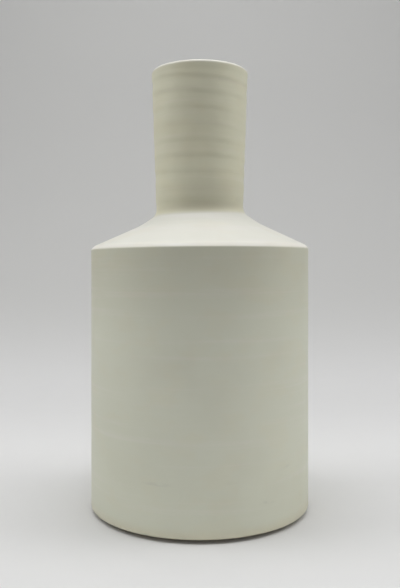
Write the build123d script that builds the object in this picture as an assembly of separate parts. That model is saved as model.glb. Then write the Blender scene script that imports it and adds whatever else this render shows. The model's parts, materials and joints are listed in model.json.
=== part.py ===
from build123d import *
import math
import os

# A bottle vase in glazed stoneware. Its base, wall, shoulder and neck are thrown as separate
# sections, lapped over each other at stepped seams and luted with slip, then glazed as one pot.
# Millimetres. The origin is the centre of the plane that the foot rests on, and +Z runs up the axis.

# Outside of the finished pot, measured over the glaze
body_diameter = 130.0
wall_height = 153.0  # from the wall's lower edge up to the line where wall and shoulder would meet
shoulder_rise = 16.75  # from that line up to the line where shoulder and neck would meet
neck_length = 88.85  # from that line up to the rim
neck_root_diameter = 52.2
rim_diameter = 58.0
shoulder_edge_drop = 1.7  # how far the bevel of the shoulder's edge runs down the wall
shoulder_edge_run = 1.6  # how far it runs in over the shoulder
neck_root_radius = 5.0
lip_drop = 2.0  # height over which the lip's soft edge falls away on both sides
wall_foot_bevel = 0.8

# Throwing rings that the potter's fingers left round the neck
ring_pitch = 8.7
ring_relief = 0.2

# Inside of the finished pot
wall_thickness = 5.0
shoulder_thickness = 5.0
neck_thickness = 5.0
floor_thickness = 7.0
floor_corner_run = 8.0  # how far the soft corner of the floor runs along floor and wall
inner_shoulder_run = 5.0  # how far the bevel of the inner shoulder runs along wall and ceiling
throat_radius = 9.0
mouth_seat_length = 18.0  # the straight stretch below the lip, where a stopper or a stem holder sits

# Trimmed foot, left without glaze
foot_lift = 2.0  # gap that the foot ring leaves between the wall's lower edge and the table
foot_inset = 6.5  # how far the foot ring is set in from the wall
foot_ring_width = 7.0
recess_depth = 2.0
recess_slope_run = 2.0
glaze_wrap = 2.5  # how far the glaze runs under the wall's lower edge

# Coats and seams
glaze_thickness = 0.4
slip_thickness = 0.5
lap_height = 5.0
neck_seam_rise = 4.0  # how far the neck's seam lies above the line where shoulder and neck would meet

# Radii and heights that follow
body_r = body_diameter / 2
neck_root_r = neck_root_diameter / 2
rim_r = rim_diameter / 2
chamber_r = body_r - wall_thickness
throat_r = neck_root_r - neck_thickness
mouth_r = rim_r - neck_thickness
lip_middle_r = (rim_r + mouth_r) / 2
edge_z = foot_lift + wall_height
root_z = edge_z + shoulder_rise
rim_z = root_z + neck_length
floor_z = recess_depth + floor_thickness
lip_z = rim_z - lip_drop
seat_z = lip_z - mouth_seat_length
shoulder_slope = shoulder_rise / (body_r - neck_root_r)
shoulder_slant = math.hypot(1, shoulder_slope)
neck_flare = (rim_r - neck_root_r) / neck_length
ring_low_z = root_z + 3 * neck_root_radius
ring_high_z = rim_z - ring_pitch / 2
ring_count = round((ring_high_z - ring_low_z) / ring_pitch)


def shoulder_height(radius, depth):
    # height of the shoulder's line at a radius, at a depth measured square to its outside
    return edge_z + (body_r - radius) * shoulder_slope - depth * shoulder_slant


def neck_radius(height):
    return neck_root_r + (height - root_z) * neck_flare


def ring_points(cover):
    # crests on the neck's flared line and grooves between them, ending on a crest at both ends
    half_steps = 2 * ring_count
    points = []
    for index in range(half_steps + 1):
        height = ring_low_z + (ring_high_z - ring_low_z) * index / half_steps
        groove = ring_relief if index % 2 else 0
        points.append((neck_radius(height) - cover - groove, height))
    return points


def outer_line(cover):
    # outline from under the wall's lower edge to the middle of the lip, at a depth of cover below the glaze
    wall_r = body_r - cover
    root_r = neck_root_r - cover
    bottom_z = foot_lift + cover
    top_z = rim_z - cover
    rings = ring_points(cover)
    edge_r = wall_r - shoulder_edge_run
    lip_side = (neck_radius(lip_z) - cover, lip_z)
    wall_and_shoulder = FilletPolyline(
        (body_r - glaze_wrap, bottom_z),
        (wall_r - wall_foot_bevel, bottom_z),
        (wall_r, bottom_z + wall_foot_bevel),
        (wall_r, edge_z - shoulder_edge_drop),
        (edge_r, shoulder_height(edge_r, cover)),
        (root_r, shoulder_height(root_r, cover)),
        rings[0],
        radius=[0, 0, 0, 0, neck_root_radius + cover],
    )
    ringed_neck = Spline(*rings, tangents=[(neck_flare, 1), (neck_flare, 1)])
    neck_top = Line(rings[-1], lip_side)
    lip = Bezier(lip_side, (rim_r - cover, top_z), (lip_middle_r, top_z))
    return wall_and_shoulder + ringed_neck + neck_top + lip


def inner_line(cover):
    # outline from the middle of the lip down through the throat to the middle of the floor
    depth = shoulder_thickness - cover
    bore_r = mouth_r + cover
    inner_throat_r = throat_r + cover
    inner_chamber_r = chamber_r + cover
    top_z = rim_z - cover
    bottom_z = floor_z - cover
    wall_end = (inner_chamber_r, floor_z + floor_corner_run)
    floor_end = (chamber_r - floor_corner_run, bottom_z)
    ceiling_end_r = inner_chamber_r - inner_shoulder_run
    wall_top_z = shoulder_height(inner_chamber_r, depth) - inner_shoulder_run
    lip = Bezier((lip_middle_r, top_z), (bore_r, top_z), (bore_r, lip_z))
    throat_and_chamber = FilletPolyline(
        (bore_r, lip_z),
        (bore_r, seat_z),
        (inner_throat_r, shoulder_height(inner_throat_r, depth)),
        (ceiling_end_r, shoulder_height(ceiling_end_r, depth)),
        (inner_chamber_r, wall_top_z),
        wall_end,
        radius=[0, throat_radius - cover, 0, 0],
    )
    floor_corner = Bezier(wall_end, (inner_chamber_r, bottom_z), floor_end)
    return lip + throat_and_chamber + floor_corner + Line(floor_end, (0, bottom_z))


def foot_line():
    # bare underside, from the axis over the foot ring to the edge of the glaze
    foot_outer_r = body_r - foot_inset
    foot_inner_r = foot_outer_r - foot_ring_width
    underside_z = foot_lift + glaze_thickness
    return Polyline(
        (0, recess_depth),
        (foot_inner_r - recess_slope_run, recess_depth),
        (foot_inner_r, 0),
        (foot_outer_r, 0),
        (foot_outer_r, underside_z),
        (body_r - glaze_wrap, underside_z),
    )


def clay_profile():
    floor_axis = Line((0, floor_z - glaze_thickness), (0, recess_depth))
    return make_face(outer_line(glaze_thickness) + inner_line(glaze_thickness) + floor_axis + foot_line())


def glaze_profile(line):
    # the coat between a finished outline and the clay below it
    finished = line(0)
    clay = line(glaze_thickness)
    first_end = Line(finished.position_at(0), clay.position_at(0))
    last_end = Line(finished.position_at(1), clay.position_at(1))
    return make_face(finished + clay + first_end + last_end)


def seam_profile(middle_r, outer_z, inner_z, reach):
    # stepped band of slip: one height outside the wall's middle, the other height inside it
    step = math.copysign(slip_thickness, inner_z - outer_z)
    return make_face(
        Polyline(
            (middle_r + reach, outer_z),
            (middle_r, outer_z),
            (middle_r, inner_z),
            (middle_r - reach, inner_z),
            (middle_r - reach, inner_z + slip_thickness),
            (middle_r + step, inner_z + slip_thickness),
            (middle_r + step, outer_z + slip_thickness),
            (middle_r + reach, outer_z + slip_thickness),
            close=True,
        )
    )


# The base's upturned rim stands inside the wall. The shoulder and the neck each hang a skirt
# inside the section below.
wall_middle_r = body_r - wall_thickness / 2
base_inner_z = floor_z + floor_corner_run
shoulder_inner_z = shoulder_height(chamber_r, shoulder_thickness) - inner_shoulder_run
neck_outer_z = root_z + neck_seam_rise
neck_middle_r = neck_root_r - neck_thickness / 2
neck_reach = neck_thickness + neck_root_radius
base_seam = seam_profile(wall_middle_r, base_inner_z - lap_height, base_inner_z, wall_thickness)
shoulder_seam = seam_profile(wall_middle_r, shoulder_inner_z + lap_height, shoulder_inner_z, wall_thickness)
neck_seam = seam_profile(neck_middle_r, neck_outer_z, neck_outer_z - lap_height, neck_reach)

clay = clay_profile()
sections = (clay - base_seam - shoulder_seam - neck_seam).faces().sort_by(Axis.Y)
profiles = {
    "foot_base": sections[0],
    "body_wall": sections[1],
    "shoulder": sections[2],
    "neck": sections[3],
    "base_slip": clay & base_seam,
    "shoulder_slip": clay & shoulder_seam,
    "neck_slip": clay & neck_seam,
    "outer_glaze": glaze_profile(outer_line),
    "inner_glaze": glaze_profile(inner_line),
}

os.makedirs("parts", exist_ok=True)
for name, profile in profiles.items():
    turned = revolve(Plane.XZ * profile, axis=Axis.Z)
    turned.label = name
    export_step(turned, os.path.join("parts", name + ".step"))
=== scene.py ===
import bpy
import bmesh
import json
import math
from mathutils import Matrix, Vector, noise


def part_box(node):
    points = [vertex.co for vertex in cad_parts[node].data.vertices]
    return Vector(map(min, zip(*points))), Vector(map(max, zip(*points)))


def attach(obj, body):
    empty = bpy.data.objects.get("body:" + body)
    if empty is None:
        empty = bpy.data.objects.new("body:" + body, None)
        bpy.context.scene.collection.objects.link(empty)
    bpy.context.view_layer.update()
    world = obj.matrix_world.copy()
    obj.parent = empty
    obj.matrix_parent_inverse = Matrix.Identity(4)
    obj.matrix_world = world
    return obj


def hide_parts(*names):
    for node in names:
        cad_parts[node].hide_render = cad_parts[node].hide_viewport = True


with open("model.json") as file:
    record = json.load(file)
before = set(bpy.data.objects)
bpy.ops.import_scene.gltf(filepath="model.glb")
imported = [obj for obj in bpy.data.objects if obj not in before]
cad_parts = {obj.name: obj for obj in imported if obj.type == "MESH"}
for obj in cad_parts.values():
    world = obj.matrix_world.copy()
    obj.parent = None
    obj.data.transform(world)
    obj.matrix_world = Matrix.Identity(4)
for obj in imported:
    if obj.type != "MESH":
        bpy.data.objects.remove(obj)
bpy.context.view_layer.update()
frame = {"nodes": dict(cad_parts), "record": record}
mounts = {mount["name"]: mount for mount in frame["record"]["mounts"]}
mm = 0.001
sharpAngle = math.radians(40.0)  # edges that turn by more than this are shaded as edges
joinDistance = 0.002 * mm
sliverLength = 0.001 * mm
nearAxis = 0.5 * mm  # closer to the axis than this, nothing is carved
print("frame loaded:", sorted(frame["nodes"]))


# shared helpers for turned pieces

def smoothStep(low, high, value):
    share = min(max((value - low) / (high - low), 0.0), 1.0)
    return share * share * (3.0 - 2.0 * share)


def dip(wave):
    # 0 on a crest, 1 at the bottom of a groove
    return 0.5 * (1.0 - math.cos(wave))


def waver(angle, height, around, upward, offset=0.0):
    # smooth noise over a turned surface: how fast it changes around and upward, and its shift
    x, y = math.cos(angle), math.sin(angle)
    return noise.noise(Vector((x * around + offset, y * around, height * upward)))


def roundCorner(wire, spot, offset, segments):
    bmesh.ops.bevel(wire, geom=[spot], offset=offset, offset_type="OFFSET", affect="VERTICES",
                    segments=segments, profile=0.5, material=-1)


def turnedWire(corners, roundSegments):
    # corners are (radius, height, rounding) in millimetres, joined in order
    wire = bmesh.new()
    spots = [wire.verts.new((radius * mm, 0.0, height * mm)) for radius, height, rounding in corners]
    places = [spot.co.copy() for spot in spots]
    for first, second in zip(spots, spots[1:]):
        wire.edges.new((first, second))
    for index in range(1, len(corners) - 1):
        rounding = corners[index][2] * mm
        if rounding == 0.0:
            continue
        turn = (places[index] - places[index - 1]).angle(places[index + 1] - places[index])
        roundCorner(wire, spots[index], rounding * math.tan(turn / 2.0), roundSegments)
    return wire


def cutRows(wire, rowLength):
    # rowLength takes a radius and a height, and all are in millimetres
    for edge in list(wire.edges):
        middle = (edge.verts[0].co + edge.verts[1].co) / 2.0 / mm
        cuts = int(edge.calc_length() / mm / rowLength(middle.x, middle.z))
        if cuts > 0:
            bmesh.ops.subdivide_edges(wire, edges=[edge], cuts=cuts)


def spinWire(wire, steps):
    bmesh.ops.spin(wire, geom=wire.verts[:] + wire.edges[:], cent=(0.0, 0.0, 0.0), axis=(0.0, 0.0, 1.0),
                   dvec=(0.0, 0.0, 0.0), angle=math.tau, steps=steps, use_merge=True, use_duplicate=False)
    bmesh.ops.remove_doubles(wire, verts=wire.verts[:], dist=joinDistance)
    bmesh.ops.dissolve_degenerate(wire, edges=wire.edges[:], dist=sliverLength)
    bmesh.ops.recalc_face_normals(wire, faces=wire.faces[:])


def faceAway(wire, sign):
    # the widest face tells which way an open shell was turned: 1 looks away from the axis, -1 towards it
    widest = max(wire.faces, key=lambda face: face.calc_center_median().to_2d().length)
    centre = widest.calc_center_median()
    if widest.normal.dot(Vector((centre.x, centre.y, 0.0))) * sign < 0.0:
        bmesh.ops.reverse_faces(wire, faces=wire.faces[:])


def carve(wire, depthAt):
    # moves each vertex towards the axis by depthAt(angle, height), in millimetres
    for vert in wire.verts:
        radius = math.hypot(vert.co.x, vert.co.y)
        if radius < nearAxis:
            continue
        share = 1.0 - depthAt(math.atan2(vert.co.y, vert.co.x), vert.co.z / mm) * mm / radius
        vert.co.x *= share
        vert.co.y *= share


def makePiece(name, wire, material, node):
    for face in wire.faces:
        face.smooth = True
    for edge in wire.edges:
        edge.smooth = edge.calc_face_angle(0.0) < sharpAngle
    data = bpy.data.meshes.new(name)
    wire.to_mesh(data)
    wire.free()
    data.materials.append(material)
    piece = bpy.data.objects.new(name, data)
    bpy.context.scene.collection.objects.link(piece)
    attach(piece, "root")
    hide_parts(node)
    print(name, "made:", len(data.polygons), "faces")
    return piece


def addCoat(piece, thickness):
    coat = piece.modifiers.new("coat", "SOLIDIFY")
    coat.thickness = thickness * mm
    coat.offset = -1.0
    coat.use_rim = True


# node tree helpers

def newMaterial(name):
    material = bpy.data.materials.new(name)
    material.use_nodes = True
    tree = material.node_tree
    tree.nodes.clear()
    output = tree.nodes.new("ShaderNodeOutputMaterial")
    shader = tree.nodes.new("ShaderNodeBsdfPrincipled")
    tree.links.new(shader.outputs["BSDF"], output.inputs["Surface"])
    return material, tree, shader


def addNode(tree, kind, inputs=None, **settings):
    node = tree.nodes.new("ShaderNode" + kind)
    for key, value in settings.items():
        setattr(node, key, value)
    for key, value in (inputs or {}).items():
        if isinstance(value, bpy.types.NodeSocket):
            tree.links.new(value, node.inputs[key])
        else:
            node.inputs[key].default_value = value
    return node


def stretchedNoise(tree, coordinates, stretch, scale, detail, roughness=0.5):
    mapping = addNode(tree, "Mapping", {"Vector": coordinates, "Scale": stretch})
    inputs = {"Vector": mapping.outputs["Vector"], "Scale": scale, "Detail": detail, "Roughness": roughness}
    return addNode(tree, "TexNoise", inputs).outputs["Fac"]


def ramp(tree, value, low, high, lowOut=0.0, highOut=1.0):
    inputs = {"Value": value, "From Min": low, "From Max": high, "To Min": lowOut, "To Max": highOut}
    return addNode(tree, "MapRange", inputs, interpolation_type="SMOOTHSTEP").outputs["Result"]


def mathNode(tree, operation, first, second=0.0):
    return addNode(tree, "Math", {0: first, 1: second}, operation=operation).outputs["Value"]


def vectorLength(tree, vector):
    return addNode(tree, "VectorMath", {0: vector}, operation="LENGTH").outputs["Value"]


def mixColour(tree, share, first, second, blend="MIX"):
    # the mix node's colour sockets are 6 and 7 going in and 2 coming out
    inputs = {0: share, 6: first, 7: second}
    return addNode(tree, "Mix", inputs, data_type="RGBA", blend_type=blend).outputs[2]


# satin white glaze

glazeLook = {
    "colour": (0.792, 0.803, 0.664, 1.0),
    # the coat's colour changes on its way up:
    # lower and upper height in millimetres, rise to the right, colour from there on
    "zones": [
        (15.0, 70.0, -0.65, (0.838, 0.848, 0.706, 1.0)),  # middle of the wall
        (97.0, 153.0, 0.0, (0.742, 0.742, 0.600, 1.0)),  # top of the wall, darker: painted shade under the shoulder's edge
        (152.6, 154.2, 0.006, (0.940, 0.926, 0.838, 1.0)),  # edge of the shoulder, lighter: painted light over the roll's shade, and a painted highlight
        (154.4, 156.8, 0.006, (0.812, 0.808, 0.737, 1.0)),  # shoulder, where it settled thick and white
        (173.0, 175.8, 0.030, (0.828, 0.814, 0.630, 1.0)),  # neck
        (258.4, 260.0, 0.0, (0.920, 0.900, 0.820, 1.0)),  # lip, lighter: a painted highlight
    ],
    # noises: stretch, scale, detail and roughness
    "noises": {
        "clouds": ((1.0, 1.0, 1.0), 22.0, 3.0),
        "streaks": ((1.0, 1.0, 34.0), 9.0, 4.0, 0.6),
        "hairlines": ((1.0, 1.0, 60.0), 34.0, 3.0, 0.65),
        "grain": ((1.0, 1.0, 1.0), 900.0, 2.0),
        "patches": ((1.0, 1.0, 1.8), 48.0, 3.0),
    },
    # which noise tints the coat, from which of its values to which, how strongly, and the tint
    "tints": [
        ("streaks", (0.50, 0.76, 0.0, 0.65), (1.050, 1.028, 1.078, 1.0)),  # thin, along the turning lines
        ("clouds", (0.48, 0.74, 0.0, 0.70), (0.955, 0.945, 0.932, 1.0)),  # thick
        ("patches", (0.46, 0.66, 0.0, 0.50), (1.005, 0.982, 0.950, 1.0)),  # warm
    ],
    "footColour": (0.770, 0.730, 0.560, 1.0),
    "footHeights": (2.6, 9.0),
    "footShare": 0.65,
    "mottle": (0.45, 0.95),  # clouds and some grain make the gloss uneven
    "mottleGrain": 0.4,
    "roughness": (0.46, 0.60),
    "specular": 0.30,
    "bump": 0.10,  # hairlines and some grain
    "bumpGrain": 0.3,
    "bumpDistance": 0.25,
    # colour of the painted shade on the neck
    "paintedShadeColour": (0.44, 0.40, 0.31, 1.0),
    "scuffColour": (0.42, 0.41, 0.36, 1.0),
    # colour of the painted highlight along the shoulder's edge
    "paintedHighlightColour": (0.97, 0.96, 0.89, 1.0),
    "frontDepths": (-20.0, 0.0),  # marks fade out between these, from the front to the sides
    "rubbing": ((1.0, 1.0, 3.0), 150.0, 3.0),
    "rubbedRange": (0.30, 0.65),
    "markRange": (0.1, 1.0),  # a mark is full up to the first share of its half width, and gone at the second
}

# marks on the front: (x, height, half width, half height, slant, strength), millimetres and degrees
paintedShadeMarks = [  # painted shade, low on the neck: over its root and at its right side
    (9.0, 184.5, 42.0, 17.0, 0.0, 0.17),
    (5.0, 178.1, 42.0, 5.8, 2.5, 0.39),
    (24.0, 180.5, 9.0, 9.0, 0.0, 0.26),
]
scuffMarks = [  # rubbed, low on the wall
    (-22.2, 29.8, 11.0, 1.4, 0.0, 0.18),
    (16.8, 31.2, 6.0, 1.3, 6.0, 0.12),
    (36.6, 18.3, 4.6, 1.1, -9.0, 0.34),
    (46.4, 34.6, 6.0, 1.2, 14.0, 0.12),
]
paintedHighlightMarks = [  # painted highlight along the edge of the shoulder
    (-13.0, 154.3, 17.0, 1.3, 0.0, 1.0),
    (27.0, 154.3, 14.0, 1.1, 0.0, 0.5),
]


def markShape(tree, coordinates, mark):
    x, height, halfWidth, halfHeight, slant, strength = mark
    inputs = {"Vector": coordinates, "Location": (x * mm, 0.0, height * mm),
              "Rotation": (0.0, -math.radians(slant), 0.0), "Scale": (halfWidth * mm, 1.0, halfHeight * mm)}
    mapping = addNode(tree, "Mapping", inputs, vector_type="TEXTURE")
    inputs = {0: mapping.outputs["Vector"], 1: (1.0, 0.0, 1.0)}
    flat = addNode(tree, "VectorMath", inputs, operation="MULTIPLY")
    return ramp(tree, vectorLength(tree, flat.outputs["Vector"]), *glazeLook["markRange"], strength, 0.0)


def wearAndPaintedLightColour(tree, coordinates, split, colour):
    look = glazeLook
    footLow, footHigh = look["footHeights"]
    atFoot = ramp(tree, split.outputs["Z"], footLow * mm, footHigh * mm, look["footShare"], 0.0)
    colour = mixColour(tree, atFoot, colour, look["footColour"])
    nearest, farthest = look["frontDepths"]
    front = ramp(tree, split.outputs["Y"], nearest * mm, farthest * mm, 1.0, 0.0)
    rubbed = ramp(tree, stretchedNoise(tree, coordinates, *look["rubbing"]), *look["rubbedRange"])
    wear = mathNode(tree, "MULTIPLY", front, rubbed)
    # scuffs are wear on the glaze; the other marks are painted shade and a painted highlight
    for marks, where, patch in ((paintedShadeMarks, front, look["paintedShadeColour"]),
                                (scuffMarks, wear, look["scuffColour"]),
                                (paintedHighlightMarks, front, look["paintedHighlightColour"])):
        shape = markShape(tree, coordinates, marks[0])
        for mark in marks[1:]:
            shape = mathNode(tree, "MAXIMUM", shape, markShape(tree, coordinates, mark))
        colour = mixColour(tree, mathNode(tree, "MULTIPLY", where, shape), colour, patch)
    return colour


def glazeMaterial(name, withWearAndPaintedLight):
    look = glazeLook
    material, tree, shader = newMaterial(name)
    coordinates = addNode(tree, "TexCoord").outputs["Object"]
    split = addNode(tree, "SeparateXYZ", {"Vector": coordinates})
    noises = {key: stretchedNoise(tree, coordinates, *setting) for key, setting in look["noises"].items()}
    colour = look["colour"]
    for low, high, lean, above in look["zones"]:
        leaning = mathNode(tree, "MULTIPLY", split.outputs["X"], lean)
        height = mathNode(tree, "SUBTRACT", split.outputs["Z"], leaning)
        colour = mixColour(tree, ramp(tree, height, low * mm, high * mm), colour, above)
    for key, spread, tint in look["tints"]:
        colour = mixColour(tree, ramp(tree, noises[key], *spread), colour, tint, "MULTIPLY")
    if withWearAndPaintedLight:
        colour = wearAndPaintedLightColour(tree, coordinates, split, colour)
    tree.links.new(colour, shader.inputs["Base Color"])
    someGrain = mathNode(tree, "MULTIPLY", noises["grain"], look["mottleGrain"])
    mottle = mathNode(tree, "ADD", noises["clouds"], someGrain)
    tree.links.new(ramp(tree, mottle, *look["mottle"], *look["roughness"]), shader.inputs["Roughness"])
    shader.inputs["Specular IOR Level"].default_value = look["specular"]
    someGrain = mathNode(tree, "MULTIPLY", noises["grain"], look["bumpGrain"])
    relief = mathNode(tree, "ADD", noises["hairlines"], someGrain)
    inputs = {"Height": relief, "Strength": look["bump"], "Distance": look["bumpDistance"] * mm}
    tree.links.new(addNode(tree, "Bump", inputs).outputs["Normal"], shader.inputs["Normal"])
    return material


# bare stoneware and joining slip

clayLook = {
    "stoneware": {"colour": (0.47, 0.39, 0.28, 1.0), "dark": (0.36, 0.29, 0.20, 1.0),
                  "fleck": (0.20, 0.13, 0.09, 1.0), "roughness": (0.78, 0.92), "bump": 0.30},
    "slip": {"colour": (0.72, 0.67, 0.57, 1.0), "dark": (0.60, 0.54, 0.44, 1.0),
             "fleck": (0.36, 0.30, 0.24, 1.0), "roughness": (0.70, 0.84), "bump": 0.18},
}
clayTexture = {
    "clouds": ((1.0, 1.0, 1.0), 40.0, 4.0),
    "cloudRange": (0.40, 0.72),
    "grit": ((1.0, 1.0, 1.0), 1300.0, 3.0, 0.7),
    "gritRange": (0.3, 0.7),
    "speckScale": 420.0,
    "speckRange": (0.08, 0.16, 0.55, 0.0),
    "specular": 0.25,
    "bumpDistance": 0.3,
}


def clayMaterial(name, look):
    material, tree, shader = newMaterial(name)
    coordinates = addNode(tree, "TexCoord").outputs["Object"]
    clouds = stretchedNoise(tree, coordinates, *clayTexture["clouds"])
    grit = stretchedNoise(tree, coordinates, *clayTexture["grit"])
    inputs = {"Vector": coordinates, "Scale": clayTexture["speckScale"]}
    specks = addNode(tree, "TexVoronoi", inputs).outputs["Distance"]
    colour = mixColour(tree, ramp(tree, clouds, *clayTexture["cloudRange"]), look["colour"], look["dark"])
    colour = mixColour(tree, ramp(tree, specks, *clayTexture["speckRange"]), colour, look["fleck"])
    tree.links.new(colour, shader.inputs["Base Color"])
    roughness = ramp(tree, grit, *clayTexture["gritRange"], *look["roughness"])
    tree.links.new(roughness, shader.inputs["Roughness"])
    shader.inputs["Specular IOR Level"].default_value = clayTexture["specular"]
    inputs = {"Height": grit, "Strength": look["bump"], "Distance": clayTexture["bumpDistance"] * mm}
    tree.links.new(addNode(tree, "Bump", inputs).outputs["Normal"], shader.inputs["Normal"])
    return material


glazeOutside = glazeMaterial("glazeOutside", True)
glazeInside = glazeMaterial("glazeInside", False)
bareStoneware = clayMaterial("bareStoneware", clayLook["stoneware"])
joiningSlip = clayMaterial("joiningSlip", clayLook["slip"])
print("materials made")


# outside of the pot: wall, shoulder, ringed neck and lip in one coat

outerLow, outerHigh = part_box("outer_glaze")
outside = {
    "bodyRadius": min(outerHigh.x, outerHigh.y, -outerLow.x, -outerLow.y) / mm,
    "wallFoot": outerLow.z / mm,
    "wallFootRounding": 1.5,
    "wrap": 2.5,  # how far the coat runs under the wall's lower edge
    "edgeHeight": 154.4,  # where the lines of wall and shoulder would meet, at the lowest side
    "edgeDrop": 1.15,  # how far the edge itself lies below that, and how far its soft roll runs in
    "edgeRun": 1.8,
    "edgeRounding": 1.2,
    "rollRounding": 5.0,
    "edgeLift": 1.2,  # the shoulder sits a little askew, highest at the back right
    "edgeLiftAngle": 45.0,
    "flareRadius": 36.0,  # from here the shoulder flares up to the neck
    "flareHeight": 167.5,
    "flareRounding": 40.0,
    "rootRadius": 26.2,
    "rootHeight": 174.0,
    "rootRounding": 5.5,
    "rootLift": 1.9,
    "rootLiftAngle": 15.0,
    "liftStart": (50.0, 4.0),  # the lift sets in between these, below the edge
    "liftEnd": (6.0, 20.0),  # and fades out from above the root to below the rim
    "waistDepth": 0.27,  # the neck is pinched in just above its root, most at the front
    "waistShare": (0.65, 0.35),
    "waistRise": 5.3,
    "waistReach": 3.6,
    "rimRadius": 29.0,
    "rimHeight": outerHigh.z / mm,
    "lipRounding": 1.7,
    "lipMiddle": 26.5,
    "coat": 0.4,
    "ringPitch": 9.05,  # one finger mark spirals up the neck
    "ringReliefs": (0.40, 0.28, 0.20, 0.15, 0.21,
                    0.25, 0.45, 0.09, 0.14, 0.14),  # turn by turn, from the top
    "ringLimit": 0.32,
    "ringSkew": 0.5,  # the upper side of each groove is the steeper one
    "ringTop": 251.6,
    "ringStart": 12.0,  # it reaches its full depth this far above the root
    "ringStop": (6.0, 2.5),  # and fades out between these, below the rim
    "ringWander": 0.16,  # in turns
    "ringPress": (0.92, 0.55),  # mean strength, and how much it varies
    "scrapeRelief": 0.035,  # finer lines between the rings
    "turningRelief": 0.05,  # on the wall, up to these depths below the edge
    "turningStop": (8.0, 3.0),
    "turningSwell": 2.0,
    # noises: change around, change upward, shift
    "wanderNoise": (0.9, 0.045),
    "pressNoise": (1.9, 0.08, 7.0),
    "scrapeNoise": (0.6, 0.5),
    "lineNoise": (0.5, 0.22),
    "swellNoise": (0.8, 0.02, 3.0),
    "roundSegments": 8,
    "neckRow": 0.85,
    "wallRow": 1.5,
    "steps": 170,
}


def ringRelief(height):
    # the finger pressed harder on some turns than on others
    reliefs = outside["ringReliefs"]
    place = (outside["ringTop"] - height) / outside["ringPitch"]
    place = min(max(place, 0.0), len(reliefs) - 1.01)
    turn = int(place)
    return reliefs[turn] + (reliefs[turn + 1] - reliefs[turn]) * (place - turn)


def ringDepth(angle, height):
    size = outside
    wander = size["ringWander"] * waver(angle, height, *size["wanderNoise"])
    turns = (height - size["ringTop"]) / size["ringPitch"] + angle / math.tau + wander
    mean, swing = size["ringPress"]
    strength = mean + swing * waver(angle, height, *size["pressNoise"])
    wave = math.tau * turns
    rings = min(ringRelief(height) * strength, size["ringLimit"])
    rings *= dip(wave + size["ringSkew"] * math.cos(wave))
    scrapes = size["scrapeRelief"] * (0.5 + 0.5 * waver(angle, height, *size["scrapeNoise"]))
    stopLow, stopHigh = size["ringStop"]
    ringed = smoothStep(size["rootHeight"], size["rootHeight"] + size["ringStart"], height)
    ringed *= 1.0 - smoothStep(size["rimHeight"] - stopLow, size["rimHeight"] - stopHigh, height)
    return ringed * (rings + scrapes)


def outsideDepth(angle, height):
    # grooves are cut inwards only, so the coat never leaves the solid's outline
    size = outside
    fromWaist = min(abs(height - size["rootHeight"] - size["waistRise"]) / size["waistReach"], 1.0)
    mean, swing = size["waistShare"]
    waist = size["waistDepth"] * (mean - swing * math.sin(angle))
    waist *= 0.5 * (1.0 + math.cos(math.pi * fromWaist))
    stopLow, stopHigh = size["turningStop"]
    onWall = 1.0 - smoothStep(size["edgeHeight"] - stopLow, size["edgeHeight"] - stopHigh, height)
    lines = 0.5 + 0.5 * waver(angle, height, *size["lineNoise"])
    swell = 0.5 + 0.5 * waver(angle, height, *size["swellNoise"])
    turning = onWall * size["turningRelief"] * (lines + size["turningSwell"] * swell)
    return ringDepth(angle, height) + waist + turning


def liftShoulder(wire):
    size = outside
    startLow, startHigh = size["liftStart"]
    endLow, endHigh = size["liftEnd"]
    for vert in wire.verts:
        height = vert.co.z / mm
        angle = math.atan2(vert.co.y, vert.co.x)
        edgeLift = size["edgeLift"] * 0.5 * (1.0 + math.cos(angle - math.radians(size["edgeLiftAngle"])))
        rootLift = size["rootLift"] * 0.5 * (1.0 + math.cos(angle - math.radians(size["rootLiftAngle"])))
        climb = (height - size["edgeHeight"]) / (size["rootHeight"] - size["edgeHeight"])
        climb = min(max(climb, 0.0), 1.0)
        share = smoothStep(size["edgeHeight"] - startLow, size["edgeHeight"] - startHigh, height)
        share *= 1.0 - smoothStep(size["rootHeight"] + endLow, size["rimHeight"] - endHigh, height)
        vert.co.z += share * (edgeLift + (rootLift - edgeLift) * climb) * mm


def makeOutside():
    size = outside
    slope = (size["flareHeight"] - size["edgeHeight"]) / (size["bodyRadius"] - size["flareRadius"])
    rollHeight = size["edgeHeight"] + size["edgeRun"] * slope
    corners = [
        (size["bodyRadius"] - size["wrap"], size["wallFoot"], 0.0),
        (size["bodyRadius"], size["wallFoot"], size["wallFootRounding"]),
        (size["bodyRadius"], size["edgeHeight"] - size["edgeDrop"], size["edgeRounding"]),
        (size["bodyRadius"] - size["edgeRun"], rollHeight, size["rollRounding"]),
        (size["flareRadius"], size["flareHeight"], size["flareRounding"]),
        (size["rootRadius"], size["rootHeight"], size["rootRounding"]),
        (size["rimRadius"], size["rimHeight"], size["lipRounding"]),
        (size["lipMiddle"], size["rimHeight"], 0.0),
    ]
    wire = turnedWire(corners, size["roundSegments"])
    cutRows(wire, lambda radius, height: size["neckRow"] if height > size["rootHeight"] else size["wallRow"])
    spinWire(wire, size["steps"])
    faceAway(wire, 1.0)
    carve(wire, outsideDepth)
    liftShoulder(wire)
    addCoat(makePiece("glaze_outside", wire, glazeOutside, "outer_glaze"), size["coat"])


makeOutside()


# inside of the pot: lip, straight mouth, throat, chamber and floor

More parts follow.
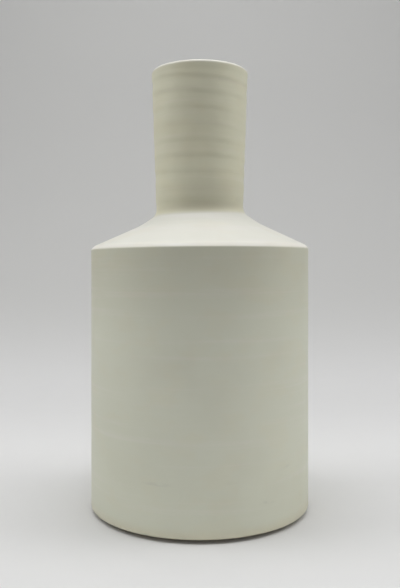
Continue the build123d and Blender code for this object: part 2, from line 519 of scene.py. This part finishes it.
inside = {
    "mouthRadius": mounts["mouth"]["dims"]["r_mm"],
    "seatLength": mounts["mouth"]["dims"]["length_mm"],
    "lipRounding": 2.0,
    "throatRadius": 21.1,
    "throatHeight": 168.46,
    "throatRounding": 9.0,
    "chamberRadius": 60.0,
    "ceilingHeight": 151.71,  # where the lines of wall and ceiling would meet
    "bevelRun": 5.0,
    "bevelRounding": 4.0,
    "floorHeight": 9.0,
    "floorRounding": 8.0,
    "ringPitch": 7.4,
    "ringRelief": 0.35,
    "ringStop": (10.0, 2.0),  # the marks fade out between these, below the straight mouth
    "ringStart": (0.5, 10.0),  # and set in between these, above the floor
    "ringWander": 0.2,
    "wanderNoise": (1.0, 0.04),
    "roundSegments": 6,
    "row": 1.6,
    "steps": 128,
}


def insideDepth(angle, height):
    # the potter's finger marks, cut outwards into the wall, away from the straight mouth
    size = inside
    seatBottom = outside["rimHeight"] - size["lipRounding"] - size["seatLength"]
    stopLow, stopHigh = size["ringStop"]
    startLow, startHigh = size["ringStart"]
    marked = 1.0 - smoothStep(seatBottom - stopLow, seatBottom - stopHigh, height)
    marked *= smoothStep(size["floorHeight"] + startLow, size["floorHeight"] + startHigh, height)
    wander = size["ringWander"] * waver(angle, height, *size["wanderNoise"])
    turns = height / size["ringPitch"] + angle / math.tau + wander
    return -marked * size["ringRelief"] * dip(math.tau * turns)


def makeInside():
    size = inside
    rim = outside["rimHeight"]
    slope = (size["throatHeight"] - size["ceilingHeight"]) / (size["chamberRadius"] - size["throatRadius"])
    bevelTop = size["ceilingHeight"] + size["bevelRun"] * slope
    corners = [
        (outside["lipMiddle"], rim, 0.0),
        (size["mouthRadius"], rim, size["lipRounding"]),
        (size["mouthRadius"], rim - size["lipRounding"] - size["seatLength"], 0.0),
        (size["throatRadius"], size["throatHeight"], size["throatRounding"]),
        (size["chamberRadius"] - size["bevelRun"], bevelTop, size["bevelRounding"]),
        (size["chamberRadius"], size["ceilingHeight"] - size["bevelRun"], size["bevelRounding"]),
        (size["chamberRadius"], size["floorHeight"], size["floorRounding"]),
        (0.0, size["floorHeight"], 0.0),
    ]
    wire = turnedWire(corners, size["roundSegments"])
    cutRows(wire, lambda radius, height: size["row"])
    spinWire(wire, size["steps"])
    faceAway(wire, -1.0)
    carve(wire, insideDepth)
    addCoat(makePiece("glaze_inside", wire, glazeInside, "inner_glaze"), outside["coat"])


makeInside()


# bare foot, with the lines that the trimming tool cut into its underside

footLow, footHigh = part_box("foot_base")
ringMiddle = mounts["foot"]["pos_m"][0] / mm
ringWidth = 7.0
foot = {
    "wallRadius": min(footHigh.x, footHigh.y, -footLow.x, -footLow.y) / mm,
    "ringInner": ringMiddle - ringWidth / 2.0,
    "ringOuter": ringMiddle + ringWidth / 2.0,
    "ringRounding": 0.7,
    "recessDepth": 2.0,
    "recessSlope": 2.0,
    "undersideHeight": outside["wallFoot"] + outside["coat"],
    "edgeRounding": 0.9,
    "seamHeight": 12.0,
    "lapRadius": 62.5,
    "rimRadius": 60.4,
    "rimHeight": footHigh.z / mm,
    "floorHeight": 8.6,
    "floorRounding": 8.0,
    "linePitch": 2.6,
    "lineRelief": 0.14,
    "lineStart": 4.0,  # the spiral reaches its full depth this far from the axis
    "lineStop": 3.0,  # and fades out over this, inside the foot ring
    "lineWander": 0.15,
    "wanderNoise": (1.0, 0.08),
    "undersideReach": 0.1,
    "roundSegments": 5,
    "undersideRow": 0.45,
    "otherRow": 6.0,
    "steps": 128,
}


def onUnderside(radius, height):
    return radius < foot["ringInner"] and height < foot["recessDepth"] + foot["undersideReach"]


def trimmingLift(angle, radius):
    # a spiral cut that fades before the foot ring, so the resting face stays flat
    size = foot
    recessEdge = size["ringInner"] - size["recessSlope"]
    cut = 1.0 - smoothStep(recessEdge - size["lineStop"], recessEdge, radius)
    wander = size["lineWander"] * waver(angle, radius, *size["wanderNoise"])
    turns = radius / size["linePitch"] - angle / math.tau + wander
    return cut * size["lineRelief"] * dip(math.tau * turns) * smoothStep(0.0, size["lineStart"], radius)


def footRow(radius, height):
    return foot["undersideRow"] if onUnderside(radius, height) else foot["otherRow"]


def makeFoot():
    size = foot
    corners = [
        (0.0, size["recessDepth"], 0.0),
        (size["ringInner"] - size["recessSlope"], size["recessDepth"], size["ringRounding"]),
        (size["ringInner"], 0.0, size["ringRounding"]),
        (size["ringOuter"], 0.0, size["ringRounding"]),
        (size["ringOuter"], size["undersideHeight"], size["ringRounding"]),
        (size["wallRadius"], size["undersideHeight"], size["edgeRounding"]),
        (size["wallRadius"], size["seamHeight"], 0.0),
        (size["lapRadius"], size["seamHeight"], 0.0),
        (size["lapRadius"], size["rimHeight"], 0.0),
        (size["rimRadius"], size["rimHeight"], 0.0),
        (size["rimRadius"], size["floorHeight"], size["floorRounding"]),
        (0.0, size["floorHeight"], 0.0),
    ]
    wire = turnedWire(corners, size["roundSegments"])
    cutRows(wire, footRow)
    spinWire(wire, size["steps"])
    for vert in wire.verts:
        radius = math.hypot(vert.co.x, vert.co.y) / mm
        if onUnderside(radius, vert.co.z / mm):
            vert.co.z += trimmingLift(math.atan2(vert.co.y, vert.co.x), radius) * mm
    makePiece("trimmed_foot", wire, bareStoneware, "foot_base")


makeFoot()


# clay of the shoulder, whose edge slumped under the coat

slump = {
    "fromRadius": 62.5,
    "fromHeight": 153.0,
    "drop": 0.65,
}


def makeShoulderClay():
    clay = bmesh.new()
    clay.from_mesh(frame["nodes"]["shoulder"].data)
    bmesh.ops.remove_doubles(clay, verts=clay.verts[:], dist=joinDistance)
    edge = [vert for vert in clay.verts
            if vert.co.z > slump["fromHeight"] * mm and vert.co.to_2d().length > slump["fromRadius"] * mm]
    bmesh.ops.translate(clay, verts=edge, vec=(0.0, 0.0, -slump["drop"] * mm))
    makePiece("shoulder_clay", clay, bareStoneware, "shoulder")


makeShoulderClay()


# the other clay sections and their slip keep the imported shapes, under the glaze

hiddenNodes = {
    "body_wall": bareStoneware,
    "neck": bareStoneware,
    "base_slip": joiningSlip,
    "shoulder_slip": joiningSlip,
    "neck_slip": joiningSlip,
}
for nodeName, material in hiddenNodes.items():
    node = frame["nodes"][nodeName]
    node.data.materials.clear()
    node.data.materials.append(material)
print("clay sections and slip dressed")


# paper sweep, lamps and camera

sweep = {
    "colour": (0.79, 0.79, 0.79, 1.0),
    # towards the back the paper is painted darker: painted shade
    "farShadeColour": (0.67, 0.67, 0.66, 1.0),
    "farShade": (0.38, 0.62),
    "fibres": ((1.0, 1.0, 1.0), 60.0, 3.0),
    "fibreShade": 0.985,
    "roughness": 0.9,
    "specular": 0.1,
    "front": -0.30,
    "bend": 0.30,
    "bendRadius": 0.45,
    "bendSegments": 32,
    "top": 1.6,
    "halfWidth": 1.5,
    # outside the photograph's view the paper fades into the room's plain colour
    "sideFade": (0.38, 0.80),
    "topFade": (0.75, 1.20),
    "frontFade": (-0.28, -0.15),
    "holeRadius": 0.0575,  # under the foot ring, so that light reaches the underside
}
worldFill = {"light": (0.0, 0.0, 0.0, 1.0), "seen": (0.62, 0.62, 0.61, 1.0)}


def mixShaders(tree, share, first, second):
    return addNode(tree, "MixShader", {0: share, 1: first, 2: second}).outputs["Shader"]


def sweepMaterial():
    look = sweep
    material, tree, shader = newMaterial("sweepPaper")
    coordinates = addNode(tree, "TexCoord").outputs["Object"]
    split = addNode(tree, "SeparateXYZ", {"Vector": coordinates})
    fibres = stretchedNoise(tree, coordinates, *look["fibres"])
    darker = tuple(channel * look["fibreShade"] for channel in look["colour"][:3]) + (1.0,)
    colour = mixColour(tree, fibres, look["colour"], darker)
    # painted shade: the paper darkens towards the back
    colour = mixColour(tree, ramp(tree, split.outputs["Y"], *look["farShade"]), colour, look["farShadeColour"])
    tree.links.new(colour, shader.inputs["Base Color"])
    shader.inputs["Roughness"].default_value = look["roughness"]
    shader.inputs["Specular IOR Level"].default_value = look["specular"]
    cameraRay = addNode(tree, "LightPath").outputs["Is Camera Ray"]
    aside = mathNode(tree, "ABSOLUTE", split.outputs["X"])
    faded = ramp(tree, aside, *look["sideFade"])
    faded = mathNode(tree, "MAXIMUM", faded, ramp(tree, split.outputs["Z"], *look["topFade"]))
    faded = mathNode(tree, "MAXIMUM", faded, ramp(tree, split.outputs["Y"], *look["frontFade"], 1.0, 0.0))
    faded = mathNode(tree, "MULTIPLY", faded, cameraRay)
    room = addNode(tree, "Emission", {"Color": worldFill["seen"]}).outputs["Emission"]
    paper = mixShaders(tree, faded, shader.outputs["BSDF"], room)
    # the underside lets the camera through, so that the foot can be looked at from below
    backSide = addNode(tree, "NewGeometry").outputs["Backfacing"]
    underFoot = mathNode(tree, "LESS_THAN", vectorLength(tree, coordinates), look["holeRadius"])
    seenThrough = mathNode(tree, "MAXIMUM", mathNode(tree, "MULTIPLY", backSide, cameraRay), underFoot)
    clear = addNode(tree, "BsdfTransparent").outputs["BSDF"]
    output = next(node for node in tree.nodes if node.type == "OUTPUT_MATERIAL")
    tree.links.new(mixShaders(tree, seenThrough, paper, clear), output.inputs["Surface"])
    return material


def makeSweep():
    size = sweep
    wallPlace = size["bend"] + size["bendRadius"]
    paper = bmesh.new()
    spots = [paper.verts.new((-size["halfWidth"], y, z)) for y, z in
             ((size["front"], 0.0), (wallPlace, 0.0), (wallPlace, size["top"]))]
    for first, second in zip(spots, spots[1:]):
        paper.edges.new((first, second))
    roundCorner(paper, spots[1], size["bendRadius"], size["bendSegments"])
    swept = bmesh.ops.extrude_edge_only(paper, edges=paper.edges[:])
    moved = [item for item in swept["geom"] if isinstance(item, bmesh.types.BMVert)]
    bmesh.ops.translate(paper, verts=moved, vec=(2.0 * size["halfWidth"], 0.0, 0.0))
    bmesh.ops.recalc_face_normals(paper, faces=paper.faces[:])
    floorFace = min(paper.faces, key=lambda face: face.calc_center_median().z)
    if floorFace.normal.z < 0.0:
        bmesh.ops.reverse_faces(paper, faces=paper.faces[:])
    for face in paper.faces:
        face.smooth = True
    data = bpy.data.meshes.new("sweep")
    paper.to_mesh(data)
    paper.free()
    data.materials.append(sweepMaterial())
    floor = bpy.data.objects.new("sweep", data)
    bpy.context.scene.collection.objects.link(floor)


makeSweep()

# places and sizes in metres, powers in watts
lampSettings = {
    "topFront": {"place": (0.0, -0.10, 1.00), "size": (0.6, 0.6), "power": 3.51},
    "topBack": {"place": (0.0, 0.10, 1.25), "size": (0.9, 0.9), "power": 2.49},
    "left": {"place": (-0.75, 0.05, 0.45), "size": (0.6, 0.6), "power": 1.02},
    "right": {"place": (0.75, 0.05, 0.45), "size": (0.6, 0.6), "power": 1.06},
    "highLeft": {"place": (-0.65, -0.05, 0.85), "size": (0.5, 0.5), "power": 1.97},
    "highRight": {"place": (0.65, -0.05, 0.85), "size": (0.5, 0.5), "power": 1.97},
    "lowFront": {"place": (0.0, -0.75, 0.30), "size": (0.5, 0.5), "power": 0.82},
    "underFoot": {"place": (0.35, -0.20, -0.30), "size": (0.3, 0.3), "power": 1.8},
}
lampTarget = Vector((0.0, 0.0, 0.13))


def makeLamps():
    for name, setting in lampSettings.items():
        lamp = bpy.data.lights.new(name + "Lamp", "AREA")
        lamp.shape = "RECTANGLE"
        lamp.size, lamp.size_y = setting["size"]
        lamp.energy = setting["power"]
        holder = bpy.data.objects.new(name + "Lamp", lamp)
        holder.location = setting["place"]
        holder.rotation_euler = (lampTarget - holder.location).to_track_quat("-Z", "Y").to_euler()
        holder.visible_camera = False
        bpy.context.scene.collection.objects.link(holder)


def makeWorld():
    world = bpy.data.worlds.new("studio")
    bpy.context.scene.world = world
    world.use_nodes = True
    tree = world.node_tree
    tree.nodes.clear()
    cameraRay = addNode(tree, "LightPath").outputs["Is Camera Ray"]
    seen = mixColour(tree, cameraRay, worldFill["light"], worldFill["seen"])
    background = addNode(tree, "Background", {"Color": seen})
    addNode(tree, "OutputWorld", {"Surface": background.outputs["Background"]})


makeLamps()
makeWorld()

cameraSettings = {
    "imageSize": (400, 588),  # pixels
    "focalPixels": 703.0,
    "horizonRow": 272.2,
    "axisColumn": 199.77,
    "distance": 425.7,  # millimetres, from the axis
    "height": 139.98,
    "sensor": 36.0,
}


def makeCamera():
    setting = cameraSettings
    wide, tall = setting["imageSize"]
    data = bpy.data.cameras.new("photoCamera")
    data.sensor_width = setting["sensor"]
    data.lens = setting["focalPixels"] * setting["sensor"] / tall
    data.shift_x = (wide / 2.0 - setting["axisColumn"]) / tall
    data.shift_y = (setting["horizonRow"] - tall / 2.0) / tall
    camera = bpy.data.objects.new("photoCamera", data)
    camera.location = (0.0, -setting["distance"] * mm, setting["height"] * mm)
    camera.rotation_euler = (math.pi / 2.0, 0.0, 0.0)
    bpy.context.scene.collection.objects.link(camera)
    bpy.context.scene.camera = camera


makeCamera()
bpy.context.scene.view_settings.view_transform = "Standard"
print("stage, lamps and camera set")
